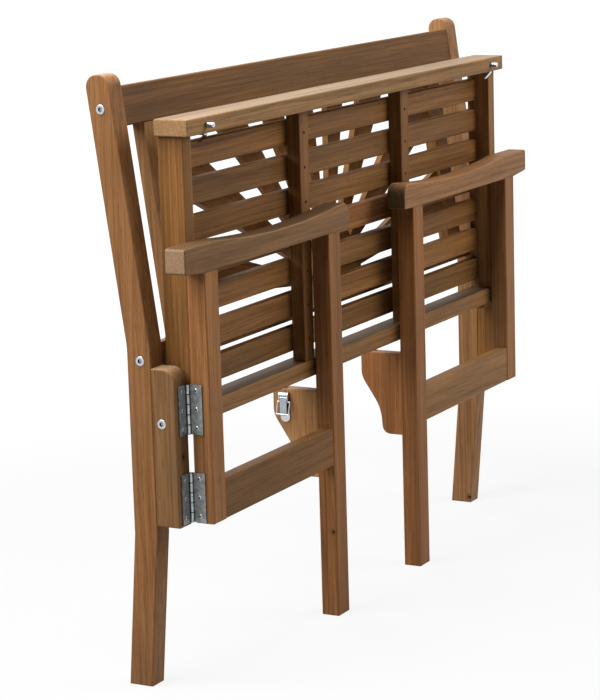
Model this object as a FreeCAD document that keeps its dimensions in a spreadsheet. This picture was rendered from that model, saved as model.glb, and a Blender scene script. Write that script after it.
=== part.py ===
import FreeCAD, Part
import math
import os
import re
import Sketcher

# Folding garden bench in its folded state, in millimetres.
# X runs along the bench, -Y is the front, +Z is up.
# Side offsets are measured inwards from the outer face of the rear leg on that side.
# Depths (Y) are measured from the plane of the frame hinges, heights from the ground.

SIZES = [
    ("bench_width", 1141, "outer face to outer face of the rear legs"),
    ("eased_edge", 2.2, "rounding of the long edges of every board"),
    ("fit", 0.05, "radial clearance of a pin or bolt in its bore"),
    ("gap", 0.4, "clearance between faces that pass each other"),
    ("leg_thick", 33.8, "rear leg, along X"),
    ("leg_front", 39.5, "depth of the rear leg's front face between its bends"),
    ("leg_depth", 38, "rear leg, front to back between its bends"),
    ("leg_height", 875, "top of the rear leg"),
    ("low_bend", 225, "height of the rear leg's lower bend"),
    ("high_bend", 495, "height of the rear leg's upper bend"),
    ("foot_kick", 19.2, "how far the foot stands behind the front face"),
    ("foot_depth", 37.7, "foot, front to back"),
    ("top_lean", 51.1, "how far the top leans behind the front face"),
    ("top_depth", 37.8, "top of the rear leg, front to back"),
    ("bend_round", 120, "rounding of the leg's bends"),
    ("back_tilt_angle", 7.63, "lean of the back panel in degrees"),
    ("fan_height", 497.5, "height of the bottom rail's top edge, centre of the rays"),
    ("top_rail_rise", 307.2, "bottom rail to top rail, along the lean"),
    ("top_rail_width", 56, "top rail, along the lean"),
    ("top_rail_thick", 28, "top rail, front to back"),
    ("top_rail_set", 3.4, "top rail's front face behind the leg's front face"),
    ("bottom_rail_width", 36.5, "bottom rail, along the lean"),
    ("bottom_rail_thick", 20, "bottom rail, front to back"),
    ("bottom_rail_set", 10, "bottom rail's front face behind the leg's front face"),
    ("stile_off", 84.5, "outer edge of the back stile"),
    ("stile_width", 48, "back stile, along X"),
    ("stile_thick", 20, "back stile, front to back"),
    ("stile_set", 6, "stile's front face behind the leg's front face"),
    ("hub_radius", 103, "half disc that the rays spring from"),
    ("hub_thick", 18, "half disc, front to back"),
    ("ray_thick", 10, "ray, front to back"),
    ("ray_set", 12, "ray's front face behind the leg's front face"),
    ("ray_step_angle", 19.7, "angle between neighbouring rays in degrees"),
    ("ray_half_angle", 5, "half of the angle that one ray spreads over, in degrees"),
    ("bolt_set", 19, "rail bolts behind the leg's front face"),
    ("bolt_radius", 3, "rail bolt shank"),
    ("bolt_reach", 28, "rail bolt's length inside the rail"),
    ("head_radius", 7, "bolt head"),
    ("head_height", 2.6, "bolt head thickness"),
    ("head_sink", 1.6, "depth of the recess for a bolt head"),
    ("socket_radius", 3.6, "hexagon socket, centre to corner"),
    ("socket_depth", 1.9, "hexagon socket"),
    ("hinge_off", 30, "frame hinge axis from the leg's outer face"),
    ("hinge_depth", -1.5, "depth of the frame hinge axis"),
    ("leaf_set", 3.4, "hinge axis to the wood under each leaf"),
    ("leaf_width", 21.8, "hinge axis to the leaf's free edge"),
    ("leaf_thick", 2, "hinge leaf"),
    ("leaf_height", 72, "hinge leaf and barrel"),
    ("barrel_radius", 2.8, "hinge barrel"),
    ("hinge_pin_radius", 1.6, "hinge pin"),
    ("leaf_screw_radius", 2.4, "screw holes in the leaves"),
    ("leaf_screw_set", 12, "screw holes from the hinge axis"),
    ("leaf_screw_pitch", 27, "between screw holes of a leaf"),
    ("low_hinge", 243.2, "underside of the lower hinge"),
    ("high_hinge", 370.4, "underside of the upper hinge"),
    ("block_bottom", 240, "underside of the hinge block"),
    ("block_top", 467, "top of the hinge block"),
    ("block_round", 20, "rounding of the block's front top corner"),
    ("frame_inner", -4.8, "depth of the inner face of a side frame"),
    ("frame_thick", 29.6, "thickness of a side frame's upright"),
    ("post_depth", 37, "rear post of a side frame, along the frame"),
    ("post_bottom", 241.8, "underside of the rear post"),
    ("front_leg_off", 404, "front leg's near face"),
    ("front_leg_depth", 37.2, "front leg, along the frame"),
    ("arm_under", 600.6, "underside of the armrest"),
    ("arm_rear", 19.5, "how far the armrest's rear end passes the rear leg"),
    ("arm_rear_lift", 5, "rise of the armrest's underside behind the rear post"),
    ("arm_front_lift", 1.5, "rise of the armrest's underside before the front leg"),
    ("arm_front", 473, "front end of the armrest"),
    ("arm_inner", -2.8, "depth of the armrest's inner face"),
    ("arm_width", 32.2, "armrest, across"),
    ("arm_blank", 50, "height of the armrest's blank before the top is swept"),
    ("arm_height", 41.2, "height of the armrest's flat rear part"),
    ("arm_dip", 30.6, "height of the armrest at the lowest place of its top"),
    ("arm_dip_off", 262, "lowest place of the armrest's top"),
    ("arm_sweep", 1750, "radius of the armrest's hollow top"),
    ("arm_nose_round", 19, "rounding of the upper front corner"),
    ("arm_end_round", 4, "rounding of the other end corners"),
    ("stretcher_bottom", 241, "underside of the stretcher"),
    ("stretcher_width", 58.5, "stretcher, upright"),
    ("stretcher_thick", 21, "stretcher, across"),
    ("stretcher_set", 1.5, "stretcher's outer face behind the frame's outer face"),
    ("corbel_set", 4, "corbel's near face behind the front leg's near face"),
    ("corbel_thick", 22, "corbel, along the frame"),
    ("corbel_reach", 78, "corbel's length from the leg"),
    ("corbel_top", 355.5, "top of the corbel"),
    ("corbel_bottom", 218.5, "underside of the corbel"),
    ("corbel_lip", 42, "upright stretch below the corbel's top"),
    ("corbel_waist", 262, "height of the corbel's hollow"),
    ("corbel_neck", 44, "corbel's width at its hollow"),
    ("corbel_toe", 40, "corbel's width at its underside"),
    ("corbel_belly_round", 34, "rounding of the corbel's belly"),
    ("corbel_waist_round", 70, "rounding of the corbel's hollow"),
    ("corbel_toe_round", 14, "rounding of the corbel's lower corner"),
    ("pin_radius", 4, "locating pin of the seat"),
    ("pin_length", 13, "locating pin's free length"),
    ("pin_root", 12, "locating pin's length inside the rail"),
    ("pin_off", 84, "locating pin from the rear leg's outer face"),
    ("pin_hole_radius", 5, "hole in the corbel for the pin"),
    ("pin_hole_depth", 15, "hole in the corbel for the pin"),
    ("pivot_depth", 24.5, "depth of the seat pivot"),
    ("pivot_height", 389, "height of the seat pivot"),
    ("pivot_radius", 4, "seat pivot bolt"),
    ("spacer_radius", 9, "spacer between block and seat"),
    ("pivot_reach", 18, "pivot bolt's length inside the seat's side rail"),
    ("seat_under", -2.4, "depth of the seat's underside"),
    ("seat_thick", 41, "seat side rail, underside to top"),
    ("seat_rail_off", 40, "outer face of the seat's side rail"),
    ("seat_rail_width", 24, "seat side rail, along X"),
    ("seat_tail", 22, "side rail's length past the pivot"),
    ("seat_tail_round", 18, "rounding of the side rail's rear end"),
    ("front_rail_off", 31.8, "end of the seat's front rail"),
    ("front_rail_bottom", 788.1, "inner face of the front rail"),
    ("front_rail_thick", 24.2, "front rail, along the seat's depth"),
    ("front_rail_width", 54.3, "front rail, underside to top"),
    ("rear_rail_bottom", 379.3, "outer face of the seat's rear rail"),
    ("rear_rail_thick", 26.6, "rear rail, along the seat's depth"),
    ("rear_rail_width", 38, "rear rail, underside to top"),
    ("bearer_width", 28.5, "middle bearer, along X"),
    ("bearer_set", 1.6, "bearer's and rear rail's underside above the side rail's underside"),
    ("bearer_off", 397, "bearer's middle from the rear leg's outer face"),
    ("slat_width", 37.4, "seat slat"),
    ("slat_thick", 16.2, "seat slat, underside to top"),
    ("slat_pitch", 52.58, "between neighbouring seat slats"),
    ("slat_first", 14.6, "gap between the front rail and the first slat"),
    ("slat_screw_radius", 2.5, "screw holes in the bearers"),
    ("slat_screw_depth", 9, "screw holes in the bearers"),
    ("latch_depth", 51.5, "depth of the latch's middle"),
    ("latch_head", 9, "lever's pivot to the top of the latch base"),
    ("latch_tail", 38.5, "lever's pivot to the underside of the latch base"),
    ("latch_width", 16, "latch base"),
    ("latch_plate", 1.5, "sheet of the latch"),
    ("latch_pivot_height", 341.5, "height of the lever's pivot"),
    ("latch_pivot_set", 5, "lever's pivot from the corbel"),
    ("lever_barrel_radius", 2.8, "curl of the lever round its pivot"),
    ("lever_pin_radius", 1.2, "pivot of the lever"),
    ("lever_width", 12, "lever at its pivot"),
    ("lever_tip_width", 11, "lever at its thumb tab"),
    ("lever_tip_round", 3, "rounding of the lever's tip"),
    ("lever_proud", 0.4, "how far the lever's curl stands out from its plate"),
    ("lever_length", 28, "pivot to the lever's tip"),
    ("bail_arm", 6, "lever pivot to the bail's eye"),
    ("bail_drop", 19, "bail's eye to its far bar, downwards"),
    ("bail_lean", 5.2, "bail's eye to its far bar, outwards"),
    ("bail_half", 10.6, "middle of the latch to the bail's side"),
    ("wire_radius", 1, "bail wire"),
    ("eye_radius", 2.1, "curl of the lever round the bail wire"),
    ("catch_depth", -15.2, "depth of the catch on the front rail"),
    ("catch_width", 9, "catch, along X"),
    ("catch_height", 12.4, "catch, from the rail"),
    ("catch_plate", 1.8, "sheet of the catch"),
    ("catch_foot", 16, "foot of the catch"),
    ("catch_lip", 10, "how far the catch's hook leans over its foot"),
    ("catch_hook", 2.6, "catch's hook, measured level"),
]

SLATS = 7
RAY_STEPS = range(-4, 5)
KNUCKLES = 5
SIDES = (("left", -1), ("right", 1))

doc = FreeCAD.newDocument("folding_garden_bench")
sheet = doc.addObject("Spreadsheet::Sheet", "Sizes")
for row, (alias, number, note) in enumerate(SIZES, 1):
    sheet.set("A%d" % row, note)
    sheet.set("B%d" % row, str(number))
    sheet.setAlias("B%d" % row, alias)
doc.recompute()

ALIAS = re.compile(r"\b(" + "|".join(alias for alias, number, note in SIZES) + r")\b")
ALONG_X = FreeCAD.Rotation(FreeCAD.Vector(0, 1, 0), 90)
ALONG_Y = FreeCAD.Rotation(FreeCAD.Vector(1, 0, 0), -90)
ALONG_Z = FreeCAD.Rotation()
nodes = []


def size(alias):
    return float(sheet.get(alias))


def bind(obj, prop, formula):
    obj.setExpression(prop, ALIAS.sub(r"Sizes.\1", formula))


def place(obj, corner, turn=ALONG_Z):
    obj.Placement = FreeCAD.Placement(FreeCAD.Vector(), turn)
    for axis, formula in zip("xyz", corner):
        bind(obj, "Placement.Base." + axis, formula)


def at_side(side, off):
    return "%d * (bench_width / 2 - (%s))" % (side, off)


def low_x(side, off, width):
    return at_side(side, off) if side < 0 else at_side(side, "(%s) + (%s)" % (off, width))


def node(obj, label):
    obj.Label = label
    nodes.append(obj)
    return obj


def new_body(name):
    return doc.addObject("PartDesign::Body", name)


def box(body, corner, lengths, kind="Additive"):
    feature = body.newObject("PartDesign::%sBox" % kind, body.Name + "_box")
    for prop, formula in zip(("Length", "Width", "Height"), lengths):
        bind(feature, prop, formula)
    place(feature, corner)
    return feature


def cylinder(body, corner, radius, height, turn=ALONG_Z, kind="Additive"):
    feature = body.newObject("PartDesign::%sCylinder" % kind, body.Name + "_cylinder")
    bind(feature, "Radius", radius)
    bind(feature, "Height", height)
    place(feature, corner, turn)
    return feature


def drill(body, corner, radius, height, turn=ALONG_Z):
    return cylinder(body, corner, radius, height, turn, "Subtractive")


def fillet(body, radius, wanted):
    doc.recompute()
    base = body.Tip
    names = ["Edge%d" % i for i, edge in enumerate(base.Shape.Edges, 1) if wanted(edge)]
    feature = body.newObject("PartDesign::Fillet", body.Name + "_round")
    feature.Base = (base, names)
    bind(feature, "Radius", radius)
    doc.recompute()
    return feature


def runs_along(axis):
    def wanted(edge):
        spans = (edge.BoundBox.XLength, edge.BoundBox.YLength, edge.BoundBox.ZLength)
        return all((span > 1) == (i == axis) for i, span in enumerate(spans))
    return wanted


def board(name, corner, lengths, axis):
    body = new_body(name)
    box(body, corner, lengths)
    fillet(body, "eased_edge", runs_along(axis))
    return body


def outline(body, plane, points, start):
    # A closed polygon whose corners are held at named sizes from the origin.
    sketch = body.newObject("Sketcher::SketchObject", body.Name + "_outline")
    support = [f for f in body.Origin.OriginFeatures if f.Role == plane][0]
    sketch.AttachmentSupport = (support, "")
    sketch.MapMode = "FlatFace"
    bind(sketch, "AttachmentOffset.Base.z", start)
    count = len(points)
    turns = [2 * math.pi * i / count for i in range(count)]
    ring = [FreeCAD.Vector(100 * math.cos(a), 100 * math.sin(a), 0) for a in turns]
    for i in range(count):
        sketch.addGeometry(Part.LineSegment(ring[i], ring[(i + 1) % count]))
    for i in range(count):
        sketch.addConstraint(Sketcher.Constraint("Coincident", i, 2, (i + 1) % count, 1))
    for i, corner in enumerate(points):
        for kind, formula in zip(("DistanceX", "DistanceY"), corner):
            index = sketch.addConstraint(Sketcher.Constraint(kind, -1, 1, i, 1, 1.0))
            bind(sketch, "Constraints[%d]" % index, formula)
    doc.recompute()
    return sketch


def pad(body, sketch, length):
    feature = body.newObject("PartDesign::Pad", body.Name + "_pad")
    feature.Profile = sketch
    bind(feature, "Length", length)
    doc.recompute()
    return feature


def round_corner(body, sketch, index, radius, axis):
    # Rounds the upright edge that the sketch's corner leaves along the pad.
    corner = sketch.Placement.multVec(sketch.Geometry[index].StartPoint)
    others = [i for i in range(3) if i != axis]

    def wanted(edge):
        middle = edge.CenterOfMass
        return runs_along(axis)(edge) and all(abs(middle[i] - corner[i]) < 0.01 for i in others)
    return fillet(body, radius, wanted)


def ease_sides(body, axis):
    # Rounds the outline edges of the two flat sides.
    doc.recompute()
    bounds = body.Tip.Shape.BoundBox
    ends = ((bounds.XMin, bounds.YMin, bounds.ZMin)[axis], (bounds.XMax, bounds.YMax, bounds.ZMax)[axis])

    def wanted(edge):
        span = (edge.BoundBox.XLength, edge.BoundBox.YLength, edge.BoundBox.ZLength)[axis]
        return span < 0.01 and min(abs(edge.CenterOfMass[axis] - end) for end in ends) < 0.01
    return fillet(body, "eased_edge", wanted)


def shaped(name, plane, points, start, length, rounds, axis):
    body = new_body(name)
    sketch = outline(body, plane, points, start)
    pad(body, sketch, length)
    for index, radius in rounds:
        round_corner(body, sketch, index, radius, axis)
    ease_sides(body, axis)
    return body


def group(name, members):
    compound = doc.addObject("Part::Compound", name)
    compound.Links = members
    return compound


def back_place():
    # The back panel's own frame: origin on the bottom rail's top edge, leaning back.
    lean = FreeCAD.Rotation(FreeCAD.Vector(1, 0, 0), -size("back_tilt_angle"))
    return FreeCAD.Placement(FreeCAD.Vector(0, size("leg_front"), size("fan_height")), lean)


def bolt_height(rail):
    return "-bottom_rail_width / 2" if rail == "bottom" else "top_rail_rise + top_rail_width / 2"


def bolt_points():
    # Where the rail bolts cross a leg, as depth and height in the bench's frame.
    ups = (-size("bottom_rail_width") / 2, size("top_rail_rise") + size("top_rail_width") / 2)
    points = [back_place().multVec(FreeCAD.Vector(0, size("bolt_set"), up)) for up in ups]
    return [("%.6f" % point.y, "%.6f" % point.z) for point in points]


def bolt_hole(body, side, off, depth, height, radius, length, sink=True):
    drill(body, (low_x(side, off, length), depth, height), radius + " + fit", length, ALONG_X)
    if sink:
        corner = (low_x(side, off, "head_sink"), depth, height)
        drill(body, corner, "head_radius + fit", "head_sink", ALONG_X)


# Rear legs: bent boards with a rounded top

def rear_leg(word, side):
    front, back = "leg_front", "leg_front + leg_depth"
    points = [
        ("leg_front + foot_kick", "0"),
        ("leg_front + foot_kick + foot_depth", "0"),
        (back, "low_bend"),
        (back, "high_bend"),
        ("leg_front + top_lean + top_depth", "leg_height"),
        ("leg_front + top_lean", "leg_height"),
        (front, "high_bend"),
        (front, "low_bend"),
    ]
    rounds = [(i, "bend_round") for i in (3, 6)] + [(i, "top_depth * 0.46") for i in (4, 5)]
    name = word + "_rear_leg"
    body = shaped(name, "YZ_Plane", points, low_x(side, "0", "leg_thick"), "leg_thick", rounds, 0)
    for depth, height in bolt_points():
        bolt_hole(body, side, "0", depth, height, "bolt_radius", "leg_thick")
    return node(body, name)


# Back panel: two rails, two stiles, a half disc and nine tapering rays

def back_rail(word, low, width, thick, setback):
    body = new_body("back_%s_rail" % word)
    half = "bench_width / 2 - leg_thick"
    box(body, ("-(%s)" % half, setback, low), ("2 * (%s)" % half, thick, width))
    fillet(body, "eased_edge", runs_along(0))
    for side in (-1, 1):
        bolt_hole(body, side, "leg_thick", "bolt_set", bolt_height(word), "bolt_radius", "bolt_reach", False)
    body.Placement = back_place()
    return node(body, "back_%s_rail" % word)


def stile(word, side):
    corner = (low_x(side, "stile_off", "stile_width"), "stile_set", "0")
    body = board(word + "_back_stile", corner, ("stile_width", "stile_thick", "top_rail_rise"), 2)
    body.Placement = back_place()
    return node(body, word + "_back_stile")


def fan_hub():
    hub = doc.addObject("Part::Cylinder", "fan_hub")
    bind(hub, "Radius", "hub_radius")
    bind(hub, "Height", "hub_thick")
    hub.Angle = 180
    upright = FreeCAD.Rotation(FreeCAD.Vector(1, 0, 0), 90)
    seat = FreeCAD.Vector(0, size("ray_set") + (size("ray_thick") + size("hub_thick")) / 2, 0)
    hub.Placement = back_place().multiply(FreeCAD.Placement(seat, upright))
    return node(hub, "fan_hub")


def ray(number, step):
    # A long wedge from the centre, trimmed by the panel's opening and by the half disc.
    name = "back_ray_%d" % number
    wedge = doc.addObject("Part::Wedge", name + "_wedge")
    spread = "tan(ray_half_angle * 1 deg)"
    near, far = "hub_radius / 2", "bench_width / 2"
    for prop, formula in (
        ("Ymin", near), ("Ymax", far),
        ("Xmin", "-%s * %s" % (near, spread)), ("Xmax", "%s * %s" % (near, spread)),
        ("X2min", "-%s * %s" % (far, spread)), ("X2max", "%s * %s" % (far, spread)),
        ("Zmin", "0"), ("Zmax", "ray_thick"), ("Z2min", "0"), ("Z2max", "ray_thick"),
    ):
        bind(wedge, prop, formula)
    swing = FreeCAD.Rotation(FreeCAD.Vector(0, 1, 0), step * size("ray_step_angle"))
    upright = FreeCAD.Rotation(FreeCAD.Vector(1, 0, 0), 90)
    back_face = FreeCAD.Vector(0, size("ray_set") + size("ray_thick"), 0)
    wedge.Placement = FreeCAD.Placement(back_face, swing.multiply(upright))
    opening = doc.addObject("Part::Box", name + "_opening")
    half = "bench_width / 2 - stile_off - stile_width"
    bind(opening, "Length", "2 * (%s)" % half)
    bind(opening, "Width", "ray_thick")
    bind(opening, "Height", "top_rail_rise")
    place(opening, ("-(%s)" % half, "ray_set", "0"))
    disc = doc.addObject("Part::Cylinder", name + "_disc")
    bind(disc, "Radius", "hub_radius")
    bind(disc, "Height", "2 * hub_thick")
    disc.Placement = FreeCAD.Placement(FreeCAD.Vector(0, size("ray_set") + size("hub_thick"), 0), upright)
    inside = doc.addObject("Part::Common", name + "_inside")
    inside.Base = wedge
    inside.Tool = opening
    trimmed = doc.addObject("Part::Cut", name)
    trimmed.Base = inside
    trimmed.Tool = disc
    trimmed.Placement = back_place()
    return node(trimmed, name)


# Bolts with a low round head and a hexagon socket

def bolt(name, side, off, depth, height, radius, length):
    body = new_body(name)
    sunk = "(%s) + head_sink" % off
    head = "(%s) + head_sink - head_height" % off
    cylinder(body, (low_x(side, sunk, length), depth, height), radius, length, ALONG_X)
    cylinder(body, (low_x(side, head, "head_height"), depth, height), "head_radius", "head_height", ALONG_X)
    doc.recompute()
    rim = max if side > 0 else min
    outer = rim(vertex.X for vertex in body.Tip.Shape.Vertexes)
    fillet(body, "head_height / 3", lambda edge: abs(edge.CenterOfMass.x - outer) < 0.01)
    socket = body.newObject("PartDesign::SubtractivePrism", name + "_socket")
    socket.Polygon = 6
    bind(socket, "Circumradius", "socket_radius")
    bind(socket, "Height", "socket_depth")
    place(socket, (low_x(side, head, "socket_depth"), depth, height), ALONG_X)
    return body


def frame_bolts():
    reach = "leg_thick + bolt_reach - head_sink - 1"
    members = []
    for word, side in SIDES:
        for depth, height in bolt_points():
            name = "%s_rail_bolt_%d" % (word, len(members))
            members.append(bolt(name, side, "0", depth, height, "bolt_radius", reach))
    return node(group("frame_bolts", members), "frame_bolts")


# Seat pivots: a bolt through each hinge block and spacer into the seat's side rail


def pivot_bolts():
    members = []
    for word, side in SIDES:
        reach = "seat_rail_off + pivot_reach - head_sink"
        name = word + "_pivot_bolt"
        members.append(bolt(name, side, "0", "pivot_depth", "pivot_height", "pivot_radius", reach))
    return node(group("seat_pivot_bolts", members), "seat_pivot_bolts")


def pivot_spacers():
    members = []
    length = "seat_rail_off - leg_thick - gap"
    for word, side in SIDES:
        ring = new_body(word + "_spacer")
        corner = (low_x(side, "leg_thick", length), "pivot_depth", "pivot_height")
        cylinder(ring, corner, "spacer_radius", length, ALONG_X)
        drill(ring, corner, "pivot_radius + fit", length, ALONG_X)
        members.append(ring)
    return node(group("pivot_spacers", members), "pivot_spacers")


# Hinge blocks on the front of the rear legs

def hinge_block(word, side):
    front = "hinge_depth + leaf_set"
    points = [
        (front, "block_bottom"),
        ("leg_front", "block_bottom"),
        ("leg_front", "block_top"),
        (front, "block_top"),
    ]
    name = word + "_hinge_block"
    start = low_x(side, "0", "leg_thick")
    body = shaped(name, "YZ_Plane", points, start, "leg_thick", [(3, "block_round")], 0)
    bolt_hole(body, side, "0", "pivot_depth", "pivot_height", "pivot_radius", "leg_thick")
    return node(body, name)


# Butt hinges: each has a leaf on the block, a leaf on the frame and a pin

def hinge_leaf(name, side, low, fixed):
    body = new_body(name)
    axis = (at_side(side, "hinge_off"), "hinge_depth", low)
    if fixed:
        corner = (low_x(side, "hinge_off - leaf_width", "leaf_width"), "hinge_depth + leaf_set - leaf_thick", low)
        box(body, corner, ("leaf_width", "leaf_thick", "leaf_height"))
    else:
        corner = (low_x(side, "hinge_off + leaf_set - leaf_thick", "leaf_thick"), "hinge_depth - leaf_width", low)
        box(body, corner, ("leaf_thick", "leaf_width", "leaf_height"))
    cylinder(body, axis, "barrel_radius", "leaf_height")
    room = "(barrel_radius + gap)"
    for knuckle in range(KNUCKLES):
        if (knuckle % 2 == 0) == fixed:
            continue
        step = "leaf_height / %d" % KNUCKLES
        bottom = "%s + %d * %s - gap / 2" % (low, knuckle, step)
        corner = (at_side(side, "hinge_off") + " - " + room, "hinge_depth - " + room, bottom)
        box(body, corner, ("2 * " + room, "2 * " + room, step + " + gap"), "Subtractive")
    drill(body, axis, "hinge_pin_radius + fit", "leaf_height")
    for step in (-1, 0, 1):
        height = "%s + leaf_height / 2 + %d * leaf_screw_pitch" % (low, step)
        if fixed:
            corner = (at_side(side, "hinge_off - leaf_screw_set"), "hinge_depth", height)
            drill(body, corner, "leaf_screw_radius", "leaf_set", ALONG_Y)
        else:
            corner = (low_x(side, "hinge_off", "leaf_set"), "hinge_depth - leaf_screw_set", height)
            drill(body, corner, "leaf_screw_radius", "leaf_set", ALONG_X)
    return body


def hinges():
    lows = ("low_hinge", "high_hinge")
    fixed = []
    pins = []
    for word, side in SIDES:
        for i, low in enumerate(lows):
            fixed.append(hinge_leaf("%s_fixed_leaf_%d" % (word, i), side, low, True))
            pin = new_body("%s_hinge_pin_%d" % (word, i))
            cylinder(pin, (at_side(side, "hinge_off"), "hinge_depth", low), "hinge_pin_radius", "leaf_height")
            pins.append(pin)
        moving = [hinge_leaf("%s_leaf_%d" % (word, i), side, low, False) for i, low in enumerate(lows)]
        name = word + "_frame_hinge_leaves"
        node(group(name, moving), name)
    node(group("block_hinge_leaves", fixed), "block_hinge_leaves")
    node(group("hinge_pins", pins), "hinge_pins")


# Side frames: armrest, front leg, rear post, stretcher and corbel

POST_OFF = "hinge_off + leaf_set"
FRAME_OUTER = "frame_inner - frame_thick"


def upright(name, side, off, depth, bottom):
    lengths = (depth, "frame_thick", "arm_under - (%s)" % bottom)
    body = board(name, (low_x(side, off, depth), FRAME_OUTER, bottom), lengths, 2)
    return node(body, name)


def stretcher(word, side):
    off = POST_OFF + " + post_depth"
    length = "front_leg_off - (%s)" % off
    corner = (low_x(side, off, length), FRAME_OUTER + " + stretcher_set", "stretcher_bottom")
    body = board(word + "_stretcher", corner, (length, "stretcher_thick", "stretcher_width"), 0)
    return node(body, word + "_stretcher")


def armrest(word, side):
    # A blank with a flat rear part, whose top is swept hollow by a very large cylinder.
    heights = [
        ("-arm_rear", "arm_rear_lift"),
        ("-arm_rear", "arm_blank"),
        ("arm_front", "arm_blank"),
        ("arm_front", "arm_front_lift"),
        ("front_leg_off + front_leg_depth", "0"),
        (POST_OFF, "0"),
    ]
    points = [(at_side(side, off), "arm_under + " + height) for off, height in heights]
    name = word + "_armrest"
    body = new_body(name)
    sketch = outline(body, "XZ_Plane", points, "-arm_inner")
    pad(body, sketch, "arm_width")
    centre = (at_side(side, "arm_dip_off"), "arm_inner - arm_width", "arm_under + arm_dip + arm_sweep")
    drill(body, centre, "arm_sweep", "arm_width", ALONG_Y)
    length = "arm_rear + arm_dip_off"
    corner = (low_x(side, "-arm_rear", length), "arm_inner - arm_width", "arm_under + arm_height")
    box(body, corner, (length, "arm_width", "arm_blank"), "Subtractive")
    middle = size("arm_under") + size("arm_dip") / 2
    front = side * (size("bench_width") / 2 - size("arm_front"))

    def is_nose(edge):
        return edge.CenterOfMass.z > middle and abs(edge.CenterOfMass.x - front) < 0.01
    across = runs_along(1)
    fillet(body, "arm_nose_round", lambda edge: across(edge) and is_nose(edge))
    ends = [front, side * (size("bench_width") / 2 + size("arm_rear"))]

    def is_end(edge):
        return edge.CenterOfMass.z < middle or abs(edge.CenterOfMass.x - ends[1]) < 0.01

    def at_end(edge):
        return min(abs(edge.CenterOfMass.x - end) for end in ends) < 0.01
    fillet(body, "arm_end_round", lambda edge: across(edge) and is_end(edge) and at_end(edge))
    ease_sides(body, 1)
    return node(body, name)


def corbel(word, side):
    points = [
        ("frame_inner", "corbel_top"),
        ("frame_inner", "corbel_bottom"),
        ("frame_inner + corbel_toe", "corbel_bottom"),
        ("frame_inner + corbel_neck", "corbel_waist"),
        ("frame_inner + corbel_reach", "corbel_top - corbel_lip"),
        ("frame_inner + corbel_reach", "corbel_top"),
    ]
    rounds = [(2, "corbel_toe_round"), (3, "corbel_waist_round"), (4, "corbel_belly_round")]
    off = "front_leg_off + corbel_set"
    name = word + "_corbel"
    start = low_x(side, off, "corbel_thick")
    body = shaped(name, "YZ_Plane", points, start, "corbel_thick", rounds, 0)
    # The hole stands where the seat's pin comes down once frame and seat are open.
    reach = "front_rail_bottom + front_rail_thick / 2 - pivot_height"
    hole = (
        at_side(side, "hinge_off + hinge_depth - pivot_depth + " + reach),
        "pin_off - hinge_off + hinge_depth",
        "corbel_top - pin_hole_depth",
    )
    drill(body, hole, "pin_hole_radius", "pin_hole_depth")
    return node(body, name)


# Draw latches on the corbels: a base with two ears, a lever and a wire bail

CORBEL_OFF = "front_leg_off + corbel_set"


def latch_x(side, out, width):
    # Low corner of a piece that stands off the corbel's near face by out.
    return low_x(side, "%s - (%s) - (%s)" % (CORBEL_OFF, out, width), width)


def latch_base(word, side):
    body = new_body(word + "_latch_base")
    low = "latch_depth - latch_width / 2"
    box(body, (latch_x(side, "0", "latch_plate"), low, "latch_pivot_height - latch_tail"),
        ("latch_plate", "latch_width", "latch_head + latch_tail"))
    bottom = size("latch_pivot_height") - size("latch_tail")
    across = runs_along(0)
    fillet(body, "latch_width / 2 - gap", lambda edge: across(edge) and edge.CenterOfMass.z < bottom + 0.01)
    reach = "latch_pivot_set + lever_barrel_radius"
    ear_drop = "lever_barrel_radius + gap"
    for depth in (low, "latch_depth + latch_width / 2 - latch_plate"):
        box(body, (latch_x(side, "0", reach), depth, "latch_pivot_height - (%s)" % ear_drop),
            (reach, "latch_plate", "latch_head + " + ear_drop))
    rise = "lever_barrel_radius + 2 * gap"
    box(body, (latch_x(side, "0", reach), low, "latch_pivot_height + " + rise),
        (reach, "latch_width", "latch_head - (%s)" % rise))
    doc.recompute()
    bounds = body.Tip.Shape.BoundBox
    outer = bounds.XMin if side < 0 else bounds.XMax

    def is_brow(edge):
        middle = edge.CenterOfMass
        return runs_along(1)(edge) and abs(middle.x - outer) < 0.01 and abs(middle.z - bounds.ZMax) < 0.01
    fillet(body, "(latch_head - (%s)) * 0.83" % rise, is_brow)
    axis = (at_side(side, CORBEL_OFF + " - latch_pivot_set"), low, "latch_pivot_height")
    cylinder(body, axis, "lever_pin_radius", "latch_width", ALONG_Y)
    return node(body, word + "_latch_base")


def latch_lever(word, side):
    body = new_body(word + "_latch_lever")
    half = "lever_width / 2"
    tip = "lever_tip_width / 2"
    points = [
        ("latch_depth - " + half, "latch_pivot_height"),
        ("latch_depth - " + tip, "latch_pivot_height - lever_length"),
        ("latch_depth + " + tip, "latch_pivot_height - lever_length"),
        ("latch_depth + " + half, "latch_pivot_height"),
    ]
    plate_out = "latch_pivot_set + lever_barrel_radius - latch_plate - lever_proud"
    sketch = outline(body, "YZ_Plane", points, latch_x(side, plate_out, "latch_plate"))
    pad(body, sketch, "latch_plate")
    for index in (1, 2):
        round_corner(body, sketch, index, "lever_tip_round", 0)
    pivot = at_side(side, CORBEL_OFF + " - latch_pivot_set")
    low = "latch_depth - " + half
    top = "latch_pivot_height"
    cylinder(body, (pivot, low, top), "lever_barrel_radius", "lever_width", ALONG_Y)
    eye_low = "latch_depth - " + tip
    eye = "latch_pivot_height - bail_arm"
    cylinder(body, (pivot, eye_low, eye), "eye_radius", "lever_tip_width", ALONG_Y)
    drill(body, (pivot, low, top), "lever_pin_radius + fit", "lever_width", ALONG_Y)
    drill(body, (pivot, low, eye), "wire_radius + fit", "lever_width", ALONG_Y)
    return node(body, word + "_latch_lever")


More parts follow.
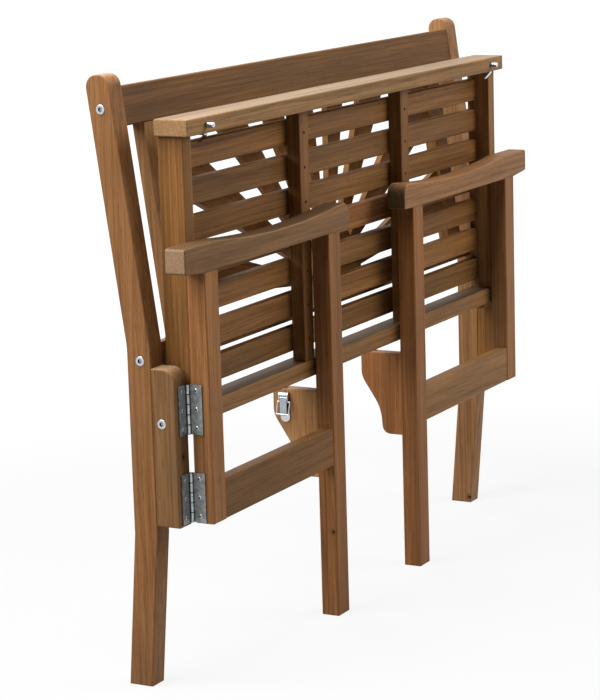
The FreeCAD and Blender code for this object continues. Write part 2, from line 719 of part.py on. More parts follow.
def latch_bail(word, side):
    # A closed wire loop: one bar turns in the lever's eye, the other hangs before the lever.
    body = new_body(word + "_latch_bail")
    near = CORBEL_OFF + " - latch_pivot_set"
    eye = "latch_pivot_height - bail_arm"
    low = "latch_depth - bail_half"
    wide = "2 * bail_half"
    far = near + " - bail_lean"
    cylinder(body, (at_side(side, near), low, eye), "wire_radius", wide, ALONG_Y)
    cylinder(body, (at_side(side, far), low, eye + " - bail_drop"), "wire_radius", wide, ALONG_Y)
    lean = math.degrees(math.atan2(size("bail_lean"), size("bail_drop")))
    turn = FreeCAD.Rotation(FreeCAD.Vector(0, 1, 0), side * lean)
    for depth in (low, "latch_depth + bail_half"):
        leg = cylinder(body, (at_side(side, far), depth, eye + " - bail_drop"), "wire_radius",
                       "sqrt(bail_lean * bail_lean + bail_drop * bail_drop)", turn.inverted())
        for height in (eye, eye + " - bail_drop"):
            off = near if height == eye else far
            ball = body.newObject("PartDesign::AdditiveSphere", word + "_bail_bend")
            bind(ball, "Radius", "wire_radius")
            place(ball, (at_side(side, off), depth, height))
    return node(body, word + "_latch_bail")


# Seat: side rails, front and rear rails, two bearers and seven slats

SEAT_TOP = "seat_under + seat_thick"
BAY_HALF = "bench_width / 2 - seat_rail_off - seat_rail_width"


def seat_side_rail(word, side):
    points = [
        ("seat_under", "pivot_height - seat_tail"),
        (SEAT_TOP, "pivot_height - seat_tail"),
        (SEAT_TOP, "front_rail_bottom"),
        ("seat_under", "front_rail_bottom"),
    ]
    rounds = [(0, "seat_tail_round"), (1, "seat_tail_round")]
    name = word + "_seat_side_rail"
    start = low_x(side, "seat_rail_off", "seat_rail_width")
    body = shaped(name, "YZ_Plane", points, start, "seat_rail_width", rounds, 0)
    reach = "pivot_reach + gap"
    corner = (low_x(side, "seat_rail_off", reach), "pivot_depth", "pivot_height")
    drill(body, corner, "pivot_radius + fit", reach, ALONG_X)
    return node(body, name)


def front_rail():
    half = "bench_width / 2 - front_rail_off"
    low = SEAT_TOP + " - front_rail_width"
    body = new_body("seat_front_rail")
    box(body, ("-(%s)" % half, low, "front_rail_bottom"),
        ("2 * (%s)" % half, "front_rail_width", "front_rail_thick"))
    fillet(body, "eased_edge", lambda edge: True)
    for word, side in SIDES:
        corner = (at_side(side, "pin_off"), low, "front_rail_bottom + front_rail_thick / 2")
        drill(body, corner, "pin_radius + fit", "pin_root", ALONG_Y)
    return node(body, "seat_front_rail")


def rear_rail():
    corner = ("-(%s)" % BAY_HALF, "seat_under + bearer_set", "rear_rail_bottom")
    lengths = ("2 * (%s)" % BAY_HALF, "rear_rail_width", "rear_rail_thick")
    return node(board("seat_rear_rail", corner, lengths, 0), "seat_rear_rail")


def bearer(word, side):
    low = "rear_rail_bottom + rear_rail_thick"
    x = at_side(side, "bearer_off")
    corner = (x + " - bearer_width / 2", "seat_under + bearer_set", low)
    lengths = ("bearer_width", "seat_thick - slat_thick - bearer_set", "front_rail_bottom - (%s)" % low)
    body = board(word + "_seat_bearer", corner, lengths, 2)
    for number in range(SLATS):
        height = "front_rail_bottom - slat_first - slat_width / 2 - %d * slat_pitch" % number
        corner = (x, "seat_under + bearer_set", height)
        drill(body, corner, "slat_screw_radius", "slat_screw_depth", ALONG_Y)
    return node(body, word + "_seat_bearer")


def slat(number):
    low = "front_rail_bottom - slat_first - slat_width - %d * slat_pitch" % (number - 1)
    corner = ("-(%s)" % BAY_HALF, SEAT_TOP + " - slat_thick", low)
    lengths = ("2 * (%s)" % BAY_HALF, "slat_thick", "slat_width")
    name = "seat_slat_%d" % number
    return node(board(name, corner, lengths, 0), name)


# Pins and catches on the seat's front rail, which meet the corbels when the bench is open

def locating_pins():
    members = []
    low = SEAT_TOP + " - front_rail_width - pin_length"
    for word, side in SIDES:
        body = new_body(word + "_locating_pin")
        corner = (at_side(side, "pin_off"), low, "front_rail_bottom + front_rail_thick / 2")
        cylinder(body, corner, "pin_radius", "pin_length + pin_root - 1", ALONG_Y)
        doc.recompute()
        tip = min(vertex.Y for vertex in body.Tip.Shape.Vertexes)
        fillet(body, "pin_radius / 2", lambda edge: abs(edge.CenterOfMass.y - tip) < 0.01)
        members.append(body)
    return node(group("locating_pins", members), "locating_pins")


def catches():
    members = []
    top, bottom = "front_rail_bottom", "front_rail_bottom - catch_height"
    front, back = "catch_depth", "catch_depth + catch_foot"
    points = [
        (back, top),
        (front, top),
        (front, top + " - catch_plate"),
        (front + " + catch_lip", bottom),
        (front + " + catch_lip + catch_hook", bottom),
        (front + " + catch_hook", top + " - catch_plate"),
        (back, top + " - catch_plate"),
    ]
    off = "latch_depth + hinge_off - hinge_depth - catch_width / 2"
    for word, side in SIDES:
        body = new_body(word + "_catch")
        sketch = outline(body, "YZ_Plane", points, low_x(side, off, "catch_width"))
        pad(body, sketch, "catch_width")
        members.append(body)
    return node(group("latch_catches", members), "latch_catches")


for word, side in SIDES:
    rear_leg(word, side)
back_rail("top", "top_rail_rise", "top_rail_width", "top_rail_thick", "top_rail_set")
back_rail("bottom", "-bottom_rail_width", "bottom_rail_width", "bottom_rail_thick", "bottom_rail_set")
fan_hub()
for number, step in enumerate(RAY_STEPS, 1):
    ray(number, step)
frame_bolts()
pivot_bolts()
pivot_spacers()
hinges()
front_rail()
rear_rail()
locating_pins()
catches()
for number in range(1, SLATS + 1):
    slat(number)
for word, side in SIDES:
    stile(word, side)
    hinge_block(word, side)
    armrest(word, side)
    upright(word + "_front_leg", side, "front_leg_off", "front_leg_depth", "0")
    upright(word + "_rear_post", side, POST_OFF, "post_depth", "post_bottom")
    stretcher(word, side)
    corbel(word, side)
    latch_base(word, side)
    latch_lever(word, side)
    latch_bail(word, side)
    seat_side_rail(word, side)
    bearer(word, side)
doc.recompute()

# The origin goes to the middle of the folded bench, on the ground
low = min(obj.Shape.BoundBox.YMin for obj in nodes)
high = max(obj.Shape.BoundBox.YMax for obj in nodes)
centre = FreeCAD.Placement(FreeCAD.Vector(0, -(low + high) / 2, 0), ALONG_Z)
for obj in nodes:
    obj.Placement = centre.multiply(obj.Placement)
doc.recompute()
print("depth offset %.4f" % (-(low + high) / 2))

for obj in doc.Objects:
    if "Invalid" in obj.State or "Error" in obj.State:
        raise RuntimeError("failed: " + obj.Label)
for obj in nodes:
    if obj.Shape.isNull() or not obj.Shape.isValid() or not obj.Shape.Solids:
        raise RuntimeError("bad shape: " + obj.Label)
os.makedirs("parts", exist_ok=True)
for obj in nodes:
    obj.Shape.exportStep("parts/%s.step" % obj.Label)
print("%d nodes" % len(nodes))
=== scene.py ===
import math
import bmesh
import bpy
from mathutils import Euler, Matrix, Vector


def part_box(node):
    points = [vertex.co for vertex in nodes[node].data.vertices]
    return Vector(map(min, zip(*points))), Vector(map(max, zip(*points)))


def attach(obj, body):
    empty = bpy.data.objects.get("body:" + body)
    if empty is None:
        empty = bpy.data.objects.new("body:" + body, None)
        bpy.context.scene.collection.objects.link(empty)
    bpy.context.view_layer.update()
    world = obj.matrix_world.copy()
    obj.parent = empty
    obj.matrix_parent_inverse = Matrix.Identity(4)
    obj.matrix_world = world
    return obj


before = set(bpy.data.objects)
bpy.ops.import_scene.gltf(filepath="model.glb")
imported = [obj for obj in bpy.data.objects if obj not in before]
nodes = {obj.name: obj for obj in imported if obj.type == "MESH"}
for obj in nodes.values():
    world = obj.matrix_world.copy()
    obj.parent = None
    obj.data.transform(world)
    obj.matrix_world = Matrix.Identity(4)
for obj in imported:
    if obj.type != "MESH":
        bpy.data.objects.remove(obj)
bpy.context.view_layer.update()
scene = bpy.context.scene

# Shader helpers: a node's input takes either a constant or the output of another node

SCALAR_RESULTS = ("DISTANCE", "DOT_PRODUCT", "LENGTH")


def feed(tree, socket, value):
    if isinstance(value, bpy.types.NodeSocket):
        tree.links.new(value, socket)
    else:
        socket.default_value = value


def add(tree, kind, **values):
    made = tree.nodes.new(kind)
    for key, value in values.items():
        if hasattr(made, key):
            setattr(made, key, value)
        else:
            feed(tree, made.inputs[key], value)
    return made


def maths(tree, operation, *values):
    made = add(tree, "ShaderNodeMath", operation=operation)
    for socket, value in zip(made.inputs, values):
        feed(tree, socket, value)
    return made.outputs[0]


def vector_maths(tree, operation, *values):
    made = add(tree, "ShaderNodeVectorMath", operation=operation)
    for socket, value in zip(made.inputs, values):
        feed(tree, socket, value)
    return made.outputs["Value" if operation in SCALAR_RESULTS else "Vector"]


def position(tree):
    return add(tree, "ShaderNodeTexCoord").outputs["Object"]


def noise(tree, place, stretch, detail, rough, result="Fac"):
    stretched = vector_maths(tree, "MULTIPLY", place, stretch)
    made = add(tree, "ShaderNodeTexNoise", Vector=stretched, Scale=1.0, Detail=detail, Roughness=rough)
    return made.outputs[result]


def ranged(tree, source, span, results):
    made = add(tree, "ShaderNodeMapRange", Value=source)
    for key, value in zip(("From Min", "From Max", "To Min", "To Max"), (*span, *results)):
        made.inputs[key].default_value = value
    return made.outputs[0]


def ramp(tree, source, stops):
    made = add(tree, "ShaderNodeValToRGB", Fac=source)
    elements = made.color_ramp.elements
    while len(elements) < len(stops):
        elements.new(0.5)
    for element, (place, colour) in zip(elements, stops):
        element.position = place
        element.color = (*colour, 1.0)
    return made.outputs["Color"]


def mixed(tree, mode, amount, first, second):
    if isinstance(second, tuple):
        second = (*second, 1.0)
    made = add(tree, "ShaderNodeMix", data_type="RGBA", blend_type=mode, Factor=amount, A=first, B=second)
    return made.outputs["Result"]


def grey(value):
    return (value, value, value)


def new_material(name, rough, metallic=0.0, specular=0.5):
    material = bpy.data.materials.new(name)
    material.use_nodes = True
    tree = material.node_tree
    shader = tree.nodes["Principled BSDF"]
    shader.inputs["Roughness"].default_value = rough
    shader.inputs["Metallic"].default_value = metallic
    shader.inputs["Specular IOR Level"].default_value = specular
    return material, tree, shader


def dress(tree, shader, colour, mottle, gloss, height, relief):
    # The mottle varies the gloss, and the height gives a fine relief.
    strength, depth = relief
    bump = add(tree, "ShaderNodeBump", Strength=strength, Distance=depth, Height=height)
    tree.links.new(colour, shader.inputs["Base Color"])
    tree.links.new(ranged(tree, mottle, (0.0, 1.0), gloss), shader.inputs["Roughness"])
    tree.links.new(bump.outputs["Normal"], shader.inputs["Normal"])


# Oiled hardwood: each board is cut from its own log, so rings, streaks and fibres agree on all its faces

TONES = {
    "russet": (0.232, 0.099, 0.034),
    "chestnut": (0.243, 0.113, 0.043),
    # This lighter tone is painted light, for the left corbel and the left back stile.
    "lit_amber": (0.350, 0.180, 0.074),
    "sorrel": (0.300, 0.133, 0.048),
    "copper": (0.290, 0.117, 0.039),
    "brown": (0.205, 0.093, 0.028),
    "hazel": (0.190, 0.098, 0.041),
    "fawn": (0.260, 0.130, 0.054),
    "umber": (0.155, 0.073, 0.023),
    "sepia": (0.132, 0.062, 0.020),
    "straw": (0.243, 0.123, 0.045),
    "pale": (0.266, 0.144, 0.056),
}
# Boards that aren't named here have the usual tone
USUAL_TONE = "brown"
BOARD_TONES = {
    "left_rear_leg": "chestnut", "right_rear_leg": "fawn", "left_hinge_block": "hazel",
    "left_rear_post": "sorrel", "right_rear_post": "chestnut",
    "left_front_leg": "russet", "right_front_leg": "russet",
    "left_armrest": "hazel", "right_armrest": "fawn",
    "left_stretcher": "umber", "right_stretcher": "straw",
    # The left corbel and the left back stile take a lighter tone, painted light standing in for the light on
    # them.
    "left_corbel": "lit_amber", "right_corbel": "copper",
    "back_top_rail": "sepia", "left_back_stile": "lit_amber",
    "seat_front_rail": "pale", "seat_rear_rail": "straw", "right_seat_side_rail": "straw",
    "seat_slat_2": "umber", "seat_slat_4": "russet", "seat_slat_7": "umber",
}
SHADE_LEAST = 0.95
SHADE_SPREAD = 0.11
WOOD_ROUGH = 0.5
WOOD_SHEEN = 0.10
WOOD_GLOSS = (0.58, 0.44)
WOOD_RELIEF = (0.16, 0.0005)

# Layers of the grain: stretch along and across the fibres, detail, roughness, and tones from low to high
WANDER = ((1.5, 7.0, 7.0), 2.0, 0.5)
WANDER_REACH = (0.0, 0.022, 0.022)
STREAKS = ((1.3, 62.0, 62.0), 3.0, 0.6)
STREAK_TONES = ((0.30, (0.54, 0.49, 0.44)), (0.48, grey(0.96)), (0.74, (1.34, 1.36, 1.34)))
FIBRES = ((6.0, 360.0, 360.0), 3.0, 0.65)
FIBRE_TONES = ((0.30, (0.58, 0.54, 0.50)), (0.52, grey(1.0)), (0.76, (1.30, 1.31, 1.33)))
DRY_TONES = ((0.3, grey(0.75)), (0.7, grey(1.2)))
PATCHES = ((3.0, 11.0, 11.0), 2.0, 0.55)
PATCH_TONES = ((0.32, (0.86, 0.88, 0.93)), (0.68, (1.13, 1.10, 1.04)))
PORES = ((30.0, 800.0, 800.0), 1.0, 0.55)
PORE_TONES = ((0.33, grey(0.55)), (0.40, grey(1.0)))
RING_LOOKS = {
    "Scale": 40.0, "Distortion": 8.0, "Detail": 2.0, "Detail Scale": 0.42, "Detail Roughness": 0.45,
}
RING_STRETCH = (0.13, 1.0, 1.0)
RING_TONES = ((0.0, grey(1.10)), (0.55, grey(0.98)), (0.88, (0.66, 0.64, 0.62)), (1.0, grey(1.04)))
RING_SHARE = 0.75
STREAK_SHARE = 0.80
FIBRE_SHARE = 0.80
PORE_SHARE = 0.5

# How strongly rings and streaks show, on the boards with a bold figure and on the others
BOLD_BOARDS = ("seat_slat", "seat_rear", "seat_front", "back_top")
BOLD_FIGURE = 0.58
CALM_FIGURE = 0.36
FIGURE_SPREAD = 0.35
FIGURE_STEP = 0.377

# Steps from one board's log to the next
SEED_STEP = (1.7, 0.91, 0.53)
GOLDEN_SHARE = 0.618
GOLDEN_ANGLE = 137.5
HEART_NEAR = 0.055
HEART_SPREAD = 0.05
HEART_STEP = 0.3

# Sawn ends: tone, largest share, and how square to the fibres a face has to lie to take any of it
SQUARE_START = 0.72
SQUARE_END = 0.97
END_GRAIN = ((0.34, 0.225, 0.14), 0.62, SQUARE_START)
END_GRAIN_OF = {
    # The right armrest's ends are near black, and the darkening spreads to faces well off square to its
    # fibres.
    "right_armrest": ((0.030, 0.018, 0.009), 0.88, 0.25),
    "seat_front_rail": ((0.30, 0.175, 0.088), 0.62, SQUARE_START),
}

# Painted light on tops: a painted highlight on the seat's front rail, painted shade on the seat's rear rail
# and the left armrest
TOP_PAINTED_LIGHT = {
    "seat_front_rail": (0.21, 0.155, 0.108),
    "seat_rear_rail": (0.080, 0.056, 0.039),
    "left_armrest": (0.058, 0.033, 0.016),
}
TOP_SHARE = 0.8
TOP_STREAKS = 0.6

# Knots: place and radius
KNOTS = {
    "left_front_leg": ((-0.1665, -0.0748, 0.135), 0.0021),
    "left_hinge_block": ((-0.5531, -0.0442, 0.3404), 0.0024),
    "right_rear_leg": ((0.5367, 0.0143, 0.0101), 0.0026),
}
KNOT_REACH = 4.0
KNOT_TONES = ((0.0, grey(0.10)), (0.24, (0.16, 0.12, 0.10)), (0.36, grey(0.66)), (1.0, grey(1.0)))

# Turns from the length of the fibres to the length of the board
ACROSS = (0.0, 0.0, 0.0)
UPRIGHT = (0.0, math.radians(90), 0.0)
UPRIGHT_BOARDS = ("leg", "post", "stile", "block", "side_rail", "bearer", "corbel")
RAY_STEP = 19.7
MIDDLE_RAY = 5


def grain_of(name):
    if name.startswith("back_ray"):
        place = int(name.split("_")[-1]) - MIDDLE_RAY
        return (0.0, math.radians(90 + place * RAY_STEP), 0.0)
    return UPRIGHT if name.endswith(UPRIGHT_BOARDS) else ACROSS


def grain_space(tree, place, turn, centre, seed):
    # Space along the fibres, the same moved on to the board's own log, and that with the fibres' slow wander
    mapping = add(
        tree, "ShaderNodeMapping", vector_type="TEXTURE", Vector=place, Rotation=turn, Location=centre)
    along = mapping.outputs["Vector"]
    own = vector_maths(tree, "ADD", along, [step * seed for step in SEED_STEP])
    wander = noise(tree, own, *WANDER, "Color")
    return along, own, vector_maths(tree, "MULTIPLY_ADD", wander, WANDER_REACH, own)


def growth_rings(tree, along, seed):
    # The heart of the log lies outside the board.
    angle = math.radians(GOLDEN_ANGLE * seed)
    reach = HEART_NEAR + HEART_SPREAD * ((seed * GOLDEN_SHARE) % 1.0)
    heart = (HEART_STEP * seed, reach * math.cos(angle), reach * math.sin(angle))
    log = vector_maths(tree, "ADD", along, heart)
    rings = add(
        tree, "ShaderNodeTexWave", wave_type="RINGS", rings_direction="X", wave_profile="SAW",
        Vector=vector_maths(tree, "MULTIPLY", log, RING_STRETCH), **RING_LOOKS)
    return ramp(tree, rings.outputs["Fac"], RING_TONES)


def facing_share(tree, axis, both_ways, most, start):
    # Rises to most where the face lies square to the axis.
    normal = add(tree, "ShaderNodeTexCoord").outputs["Normal"]
    aligned = vector_maths(tree, "DOT_PRODUCT", normal, axis)
    if both_ways:
        aligned = maths(tree, "ABSOLUTE", aligned)
    return ranged(tree, aligned, (start, SQUARE_END), (0.0, most))


def with_sawn_ends(tree, colour, dry, turn, end_grain):
    tone, most, start = end_grain
    fibre_axis = Euler(turn).to_matrix() @ Vector((1.0, 0.0, 0.0))
    sawn = mixed(tree, "MULTIPLY", 1.0, dry, tone)
    return mixed(tree, "MIX", facing_share(tree, fibre_axis, True, most, start), colour, sawn)


def with_painted_top_light(tree, colour, dry, streaked, tone):
    # Painted light and shade: the upward faces are mixed toward the listed top tone.
    streaked_top = mixed(tree, "MULTIPLY", TOP_STREAKS, dry, streaked)
    painted_top = mixed(tree, "MULTIPLY", 1.0, streaked_top, tone)
    upward = facing_share(tree, (0.0, 0.0, 1.0), False, TOP_SHARE, SQUARE_START)
    return mixed(tree, "MIX", upward, colour, painted_top)


def with_knot(tree, colour, place, spot, radius):
    away = vector_maths(tree, "DISTANCE", place, spot)
    reach = ranged(tree, away, (0.0, KNOT_REACH * radius), (0.0, 1.0))
    return mixed(tree, "MULTIPLY", 1.0, colour, ramp(tree, reach, KNOT_TONES))


def board_wood(name, seed):
    low, high = (Vector(corner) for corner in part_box(name))
    turn = grain_of(name)
    shade = SHADE_LEAST + SHADE_SPREAD * ((seed * GOLDEN_SHARE) % 1.0)
    tone = [shade * part for part in TONES[BOARD_TONES.get(name, USUAL_TONE)]]
    figure = BOLD_FIGURE if name.startswith(BOLD_BOARDS) else CALM_FIGURE
    figure += FIGURE_SPREAD * ((seed * FIGURE_STEP) % 1.0)
    material, tree, shader = new_material("wood_" + name, WOOD_ROUGH, specular=WOOD_SHEEN)
    place = position(tree)
    along, own, bent = grain_space(tree, place, turn, (low + high) / 2, seed)
    streaks = noise(tree, bent, *STREAKS)
    streaked = ramp(tree, streaks, STREAK_TONES)
    fibres = noise(tree, bent, *FIBRES)
    dry = ramp(tree, fibres, DRY_TONES)
    layers = (
        (RING_SHARE * figure, growth_rings(tree, along, seed)),
        (STREAK_SHARE * figure, streaked),
        (FIBRE_SHARE, ramp(tree, fibres, FIBRE_TONES)),
        (1.0, ramp(tree, noise(tree, own, *PATCHES), PATCH_TONES)),
        (PORE_SHARE, ramp(tree, noise(tree, bent, *PORES), PORE_TONES)),
    )
    colour = add(tree, "ShaderNodeRGB").outputs[0]
    colour.default_value = (*tone, 1.0)
    for share, layer in layers:
        colour = mixed(tree, "MULTIPLY", share, colour, layer)
    colour = with_sawn_ends(tree, colour, dry, turn, END_GRAIN_OF.get(name, END_GRAIN))
    # Painted light and shade on the tops of some boards
    if name in TOP_PAINTED_LIGHT:
        colour = with_painted_top_light(tree, colour, dry, streaked, TOP_PAINTED_LIGHT[name])
    if name in KNOTS:
        colour = with_knot(tree, colour, place, *KNOTS[name])
    dress(tree, shader, colour, streaks, WOOD_GLOSS, fibres, WOOD_RELIEF)
    return material


# Butt hinges: sizes of a leaf and its barrel, and their places from the leaves' own boxes

LEAF_SET = 0.0034
LEAF_THICK = 0.002
LEAF_WIDTH = 0.0218
LEAF_HEIGHT = 0.072
KNUCKLE = LEAF_HEIGHT / 5
BARREL_REACH = 0.0029
# Painted highlight on the barrel, and painted shade in the gaps between its knuckles
BARREL_HIGHLIGHT = (1.55, 1.56, 1.55)
KNUCKLE_GAP_SHADE = ((0.035, grey(0.07)), (0.075, grey(1.0)), (0.925, grey(1.0)), (0.965, grey(0.07)))
# The half puts the middle of a leaf in the middle of a knuckle, and the ten keeps the count above nought
KNUCKLE_START = 10 + 0.5


def hinge_axis(word, side):
    low, high = (Vector(corner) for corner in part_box(word + "_frame_hinge_leaves"))
    wood_x = high.x if side < 0 else low.x
    return wood_x + side * LEAF_SET, low.y + LEAF_WIDTH


def leaf_middles():
    low, high = (Vector(corner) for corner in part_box("block_hinge_leaves"))
    return low.z + LEAF_HEIGHT / 2, high.z - LEAF_HEIGHT / 2


def barrel_painted_light(tree, place, tone):
    # Painted highlight: the barrel is lighter than the leaves, with painted shade as a dark line between its
    # knuckles.
    axis_x, axis_y = hinge_axis("left", -1)
    low_middle, high_middle = leaf_middles()
    one_side = vector_maths(tree, "ABSOLUTE", place)
    flat = vector_maths(tree, "MULTIPLY", one_side, (1.0, 1.0, 0.0))
    away = vector_maths(tree, "DISTANCE", flat, (abs(axis_x), abs(axis_y), 0.0))
    on_barrel = maths(tree, "LESS_THAN", away, BARREL_REACH)
    height = add(tree, "ShaderNodeSeparateXYZ", Vector=place).outputs["Z"]
    upper = maths(tree, "GREATER_THAN", height, (low_middle + high_middle) / 2)
    level = maths(tree, "MULTIPLY_ADD", upper, low_middle - high_middle, height)
    count = maths(tree, "MULTIPLY_ADD", level, 1 / KNUCKLE, KNUCKLE_START - low_middle / KNUCKLE)
    line = ramp(tree, maths(tree, "FRACT", count), KNUCKLE_GAP_SHADE)
    highlighted = mixed(tree, "MULTIPLY", 1.0, mixed(tree, "MULTIPLY", 1.0, tone, BARREL_HIGHLIGHT), line)
    return mixed(tree, "MIX", on_barrel, tone, highlighted)


# Plated metals with a faint mottle: dark and light tone, smoothest and roughest gloss, and grain

METALS = {
    "zinc": ((0.42, 0.45, 0.49), (0.58, 0.60, 0.63), 0.20, 0.30, 320.0),
    "galvanised": ((0.19, 0.202, 0.20), (0.31, 0.323, 0.32), 0.34, 0.50, 190.0),
    "chrome": ((0.50, 0.52, 0.55), (0.60, 0.62, 0.64), 0.10, 0.16, 420.0),
    "satin": ((0.33, 0.36, 0.385), (0.41, 0.44, 0.465), 0.22, 0.32, 420.0),
    "dark_steel": ((0.035, 0.033, 0.032), (0.075, 0.070, 0.066), 0.45, 0.60, 300.0),
}
METAL_NODES = {
    "frame_bolts": "zinc", "seat_pivot_bolts": "zinc", "pivot_spacers": "zinc", "locating_pins": "zinc",
    "block_hinge_leaves": "galvanised", "left_frame_hinge_leaves": "galvanised",
    "right_frame_hinge_leaves": "galvanised", "hinge_pins": "galvanised", "latch_catches": "chrome",
    "left_latch_base": "chrome", "left_latch_lever": "satin", "left_latch_bail": "chrome",
    "right_latch_base": "chrome", "right_latch_lever": "satin", "right_latch_bail": "chrome",
}
MOTTLE_DETAIL = (3.0, 0.6)
MOTTLE_LOW = 0.36
MOTTLE_HIGH = 0.64
METAL_RELIEF = (0.08, 0.0002)

# Painted shade in recesses and the lines between parts: how open a spot is where the shade is full and where
# it ends
RECESS_SHADE_SPAN = (0.36, 0.84)
RECESS_SHADE_SPAN_OF = {"zinc": (0.58, 0.96)}
RECESS_SHADE_TONE = (0.06, 0.07, 0.085)
RECESS_SHADE_REACH = 0.004
RECESS_SHADE_SAMPLES = 8


def metal(name):
    dark, light, smooth, rough, grain = METALS[name]
    material, tree, shader = new_material(name, rough, 1.0)
    place = position(tree)
    mottle = noise(tree, place, grey(grain), *MOTTLE_DETAIL)
    tone = ramp(tree, mottle, ((MOTTLE_LOW, dark), (MOTTLE_HIGH, light)))
    # The galvanised barrel takes a painted highlight, and painted shade between its knuckles.
    if name == "galvanised":
        tone = barrel_painted_light(tree, place, tone)
    # Painted shade: occlusion darkens recesses, sockets and the gaps between parts.
    hollow = add(tree, "ShaderNodeAmbientOcclusion", samples=RECESS_SHADE_SAMPLES, Distance=RECESS_SHADE_REACH)
    full, clear = RECESS_SHADE_SPAN_OF.get(name, RECESS_SHADE_SPAN)
    recess_shade = ramp(tree, hollow.outputs["AO"], ((full, RECESS_SHADE_TONE), (clear, grey(1.0))))
    colour = mixed(tree, "MULTIPLY", 1.0, tone, recess_shade)
    dress(tree, shader, colour, mottle, (smooth, rough), mottle, METAL_RELIEF)
    return material


metals = {name: metal(name) for name in METALS}

for seed, name in enumerate(sorted(nodes), 1):
    coat = metals[METAL_NODES[name]] if name in METAL_NODES else board_wood(name, seed)
    nodes[name].data.materials.clear()
    nodes[name].data.materials.append(coat)

# Screws with a raised round head and a cross recess, in shares of the head's radius and rise

TURN_STEPS = 24
HEAD_PROFILE = ((1.0, 0.0), (0.99, 0.35), (0.93, 0.66), (0.80, 0.90), (0.68, 1.0))
RECESS_MOUTH = (0.56, 0.15)
RECESS_FLOOR = (0.34, 0.11)
RECESS_DEPTH = 0.45
SHANK_RADIUS = 0.5


def circle(mesh, radius, height):
    turns = [2 * math.pi * step / TURN_STEPS for step in range(TURN_STEPS)]
    return [mesh.verts.new((radius * math.cos(a), radius * math.sin(a), height)) for a in turns]


def cross(mesh, radius, shares, height):
    arm, half = (share * radius for share in shares)
    corners = [(arm, -half), (arm, half), (half, half)]
    points = []
    for quarter in range(4):
        turn = Matrix.Rotation(quarter * math.pi / 2, 2)
        points += [turn @ Vector(corner) for corner in corners]
    return [mesh.verts.new((point.x, point.y, height)) for point in points]


def band(mesh, lower, upper):
    count = len(lower)
    for i in range(count):
        follow = (i + 1) % count
        mesh.faces.new((lower[i], lower[follow], upper[follow], upper[i]))


def ring_edges(mesh, points):
    pairs = zip(points, points[1:] + points[:1])
    return [mesh.edges.get(pair) or mesh.edges.new(pair) for pair in pairs]


def screw_mesh(name, radius, rise, shank, coat):
    # The head's flat side lies at height nought, and its shank goes down from there.
    mesh = bmesh.new()
    rings = [circle(mesh, share * radius, height * rise) for share, height in HEAD_PROFILE]
    for lower, upper in zip(rings, rings[1:]):
        band(mesh, lower, upper)
    mouth = cross(mesh, radius, RECESS_MOUTH, rise)
    edges = ring_edges(mesh, rings[-1]) + ring_edges(mesh, mouth)
    bmesh.ops.triangle_fill(mesh, edges=edges, use_beauty=True)
    recess_floor = cross(mesh, radius, RECESS_FLOOR, rise - RECESS_DEPTH * radius)
    band(mesh, mouth, recess_floor)
    mesh.faces.new(recess_floor)
    neck = circle(mesh, SHANK_RADIUS * radius, 0.0)
    band(mesh, neck, rings[0])
    tip = circle(mesh, SHANK_RADIUS * radius, -shank)
    band(mesh, tip, neck)
    mesh.faces.new(tip)
    bmesh.ops.recalc_face_normals(mesh, faces=mesh.faces)
    data = bpy.data.meshes.new(name)
    mesh.to_mesh(data)
    mesh.free()
    data.materials.append(coat)
    return data


def drive(name, data, place, facing, twist, body):
    made = bpy.data.objects.new(name, data)
    aim = Vector(facing).to_track_quat("Z", "Y").to_matrix().to_4x4()
    made.matrix_world = Matrix.Translation(place) @ aim @ Matrix.Rotation(twist, 4, "Z")
    scene.collection.objects.link(made)
    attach(made, body)


# Hinge screws: three in each leaf, each turned its own way

LEAF_SCREW = {"radius": 0.0034, "rise": 0.0007, "shank": 0.0019}
LEAF_SCREW_PITCH = 0.027
LEAF_SCREW_SET = 0.012
SCREW_TWIST = 0.7
SIDE_TWIST = 0.4
FRAME_TWIST = 0.9

leaf_screw = screw_mesh("leaf_screw", **LEAF_SCREW, coat=metals["satin"])

for word, side in (("left", -1), ("right", 1)):
    hinge_x, hinge_y = hinge_axis(word, side)
    block_x, block_y = hinge_x + side * LEAF_SCREW_SET, hinge_y + LEAF_SET - LEAF_THICK
    frame_x, frame_y = hinge_x - side * (LEAF_SET - LEAF_THICK), hinge_y - LEAF_SCREW_SET
    for hinge, middle in enumerate(leaf_middles()):
        for step in (-1, 0, 1):
            height = middle + step * LEAF_SCREW_PITCH
            twist = SCREW_TWIST * (3 * hinge + step) + SIDE_TWIST * side
            mark = "%s_%d_%d" % (word, hinge + 1, step + 2)
            drive("block_screw_" + mark, leaf_screw, (block_x, block_y, height), (0, -1, 0), twist,
                  "back")
            drive("frame_screw_" + mark, leaf_screw, (frame_x, frame_y, height), (side, 0, 0),
                  twist + FRAME_TWIST, word + "_frame")

# Slat screws: sunk in the bearers' holes, one for each slat

SLAT_SCREW = {"radius": 0.0023, "rise": 0.0006, "shank": 0.0040}
SLAT_SCREW_SINK = 0.003
SLAT_SCREW_TWIST = 1.1
SLAT_COUNT = 7

slat_screw = screw_mesh("slat_screw", **SLAT_SCREW, coat=metals["dark_steel"])

for word in ("left", "right"):
    low, high = (Vector(corner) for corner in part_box(word + "_seat_bearer"))
    for number in range(1, SLAT_COUNT + 1):
        slat_low, slat_high = (Vector(corner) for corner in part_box("seat_slat_%d" % number))
        place = ((low.x + high.x) / 2, low.y + SLAT_SCREW_SINK, (slat_low.z + slat_high.z) / 2)
        mark = "%s_%d" % (word, number)
        drive("slat_screw_" + mark, slat_screw, place, (0, -1, 0), SLAT_SCREW_TWIST * number,
              "seat")

# Floor and backdrop: white to the camera and in reflections, with the bench's own shadow

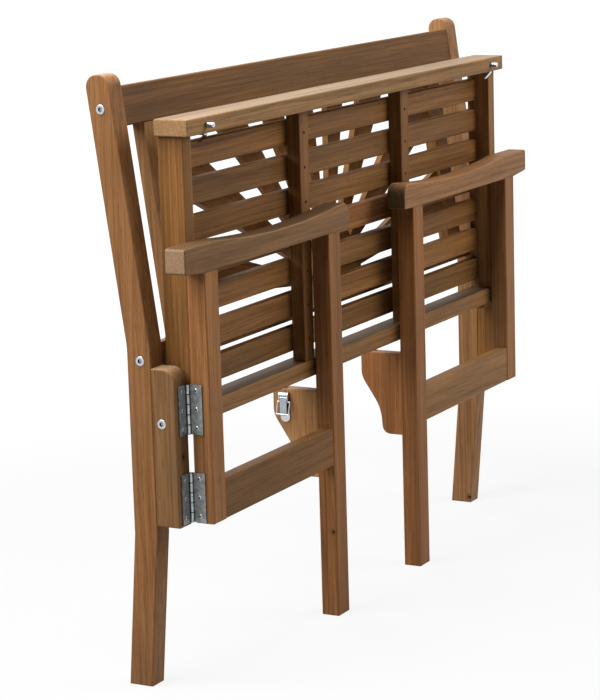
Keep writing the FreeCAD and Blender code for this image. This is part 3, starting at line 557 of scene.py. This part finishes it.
WHITE = (1.0, 1.0, 1.0, 1.0)
FLOOR_REACH = 60
FLOOR_TONE = (*grey(0.30), 1.0)
FLOOR_GLOW = 1.08
# Distance from the bench over which the shadow fades, and the share of plain white at both ends
FLOOR_FADE = (0.9, 2.2)
FLOOR_WHITE = (0.80, 1.0)
WORLD_LEVEL = 0.03


def seen_directly(tree):
    path = add(tree, "ShaderNodeLightPath").outputs
    unscattered = maths(tree, "MAXIMUM", path["Is Camera Ray"], path["Is Glossy Ray"])
    return maths(tree, "MAXIMUM", unscattered, path["Is Transmission Ray"])


corners = [(x * FLOOR_REACH, y * FLOOR_REACH, 0) for x, y in ((-1, -1), (1, -1), (1, 1), (-1, 1))]
floor_mesh = bpy.data.meshes.new("floor")
floor_mesh.from_pydata(corners, [], [(0, 1, 2, 3)])
floor = bpy.data.objects.new("floor", floor_mesh)
scene.collection.objects.link(floor)

floor_coat = bpy.data.materials.new("floor")
floor_coat.use_nodes = True
tree = floor_coat.node_tree
tree.nodes.clear()
matt = add(tree, "ShaderNodeBsdfDiffuse", Color=FLOOR_TONE)
glow = add(tree, "ShaderNodeEmission", Color=WHITE, Strength=FLOOR_GLOW)
white = ranged(tree, vector_maths(tree, "LENGTH", position(tree)), FLOOR_FADE, FLOOR_WHITE)
blend = add(tree, "ShaderNodeMixShader", Fac=maths(tree, "MULTIPLY", white, seen_directly(tree)))
tree.links.new(matt.outputs[0], blend.inputs[1])
tree.links.new(glow.outputs[0], blend.inputs[2])
add(tree, "ShaderNodeOutputMaterial", Surface=blend.outputs[0])
floor_mesh.materials.append(floor_coat)

world = bpy.data.worlds.new("studio")
scene.world = world
world.use_nodes = True
tree = world.node_tree
backdrop = tree.nodes["Background"]
backdrop.inputs["Color"].default_value = WHITE
level = ranged(tree, seen_directly(tree), (0.0, 1.0), (WORLD_LEVEL, 1.0))
tree.links.new(level, backdrop.inputs["Strength"])

# Studio lamps: place, what they are aimed at, width and power

LAMPS = {
    "side": ((-1.9, 0.95, 2.2), (-0.4, 0, 0.7), 2.4, 94),
    "front": ((1.4, -2.6, 2.4), (0.1, 0, 0.5), 2.2, 99),
    "top": ((-0.8, 0.16, 2.8), (-0.1, 0, 0.7), 1.3, 84),
    "rear": ((1.5, 2.6, 1.7), (0, 0, 0.5), 2.0, 46),
}

for name, (place, target, width, power) in LAMPS.items():
    data = bpy.data.lights.new(name, "AREA")
    data.size = width
    data.energy = power
    lamp = bpy.data.objects.new(name, data)
    lamp.location = place
    lamp.rotation_euler = (Vector(target) - Vector(place)).to_track_quat("-Z", "Y").to_euler()
    scene.collection.objects.link(lamp)

# Camera at the photograph's viewing angle

CAMERA_PLACE = (-3.42350, -1.79224, 1.15567)
CAMERA_TURNS = ((-61.52077, "Z"), (78.75376, "X"), (-1.70524, "Z"))
LENS = 126.637
SENSOR = 36.0

camera = bpy.data.objects.new("camera", bpy.data.cameras.new("camera"))
camera.data.lens = LENS
camera.data.sensor_width = SENSOR
pan, tilt, roll = (Matrix.Rotation(math.radians(angle), 4, axis) for angle, axis in CAMERA_TURNS)
camera.matrix_world = Matrix.Translation(CAMERA_PLACE) @ pan @ tilt @ roll
scene.collection.objects.link(camera)
bpy.context.scene.camera = camera
bpy.context.scene.view_settings.view_transform = "Standard"
